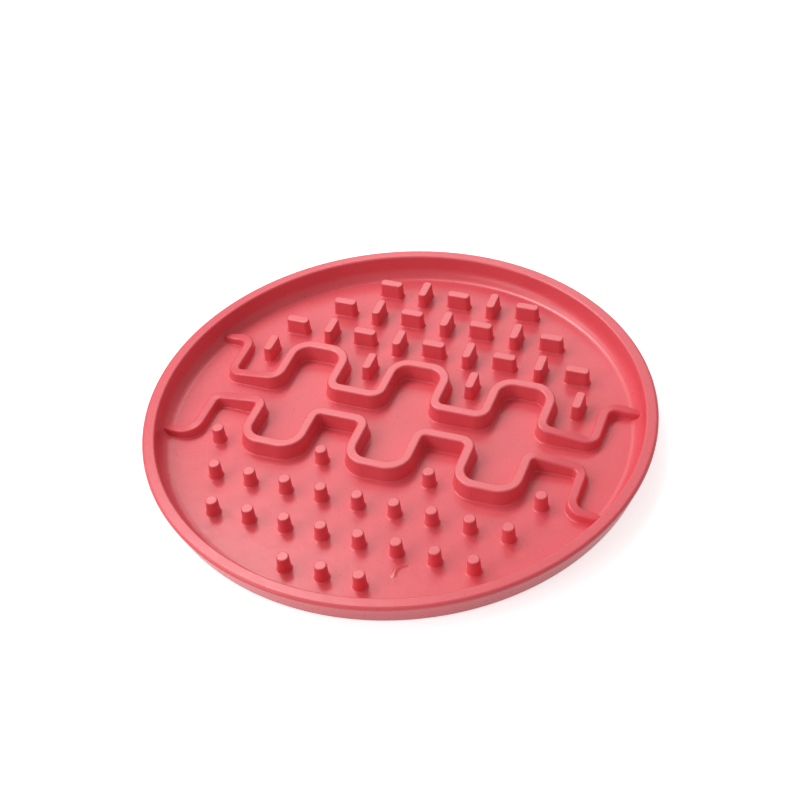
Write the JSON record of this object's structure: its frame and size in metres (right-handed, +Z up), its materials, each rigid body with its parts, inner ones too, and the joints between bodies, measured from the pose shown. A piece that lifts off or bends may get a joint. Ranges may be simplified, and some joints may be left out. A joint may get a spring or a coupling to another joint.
{
  "type": "lick mat",
  "caption": "Round silicone lick mat: a shallow rimmed dish whose floor carries two serpentine walls, a field of upright blocks and a field of pins that hold spread food for a pet.",
  "frame": {"origin": "middle of the flat underside", "axes": "+Z up out of the dish, +X along the rows of blocks and pins, +Y towards the blocks"},
  "size_m": [0.2, 0.2, 0.0114],
  "materials": {
    "silicone": "satin silicone"
  },
  "bodies": {
    "root": {"base": "silicone", "rim": "silicone", "back_wave": "silicone", "front_wave": "silicone", "block_row1_1": "silicone", "block_row1_2": "silicone", "block_row1_3": "silicone", "block_row1_4": "silicone", "block_row1_5": "silicone", "block_row1_6": "silicone", "block_row1_7": "silicone", "block_row1_8": "silicone", "block_row1_9": "silicone", "block_row2_1": "silicone", "block_row2_2": "silicone", "block_row2_3": "silicone", "block_row2_4": "silicone", "block_row2_5": "silicone", "block_row2_6": "silicone", "block_row2_7": "silicone", "block_row3_1": "silicone", "block_row3_2": "silicone", "block_row3_3": "silicone", "block_row3_4": "silicone", "block_row3_5": "silicone", "pin_row1_1": "silicone", "pin_row1_2": "silicone", "pin_row1_3": "silicone", "pin_row1_4": "silicone", "pin_row1_5": "silicone", "pin_row1_6": "silicone", "pin_row1_7": "silicone", "pin_row1_8": "silicone", "pin_row1_9": "silicone", "pin_row2_1": "silicone", "pin_row2_2": "silicone", "pin_row2_3": "silicone", "pin_row2_4": "silicone", "pin_row2_5": "silicone", "pin_row2_6": "silicone", "pin_row2_7": "silicone", "pin_row2_8": "silicone", "pin_row3_1": "silicone", "pin_row3_2": "silicone", "pin_row3_3": "silicone", "pocket_block_1": "silicone", "pocket_block_2": "silicone", "pocket_block_3": "silicone", "pocket_block_4": "silicone", "pocket_pin_1": "silicone", "pocket_pin_2": "silicone", "pocket_pin_3": "silicone", "pocket_pin_4": "silicone"}
  },
  "joints": []
}
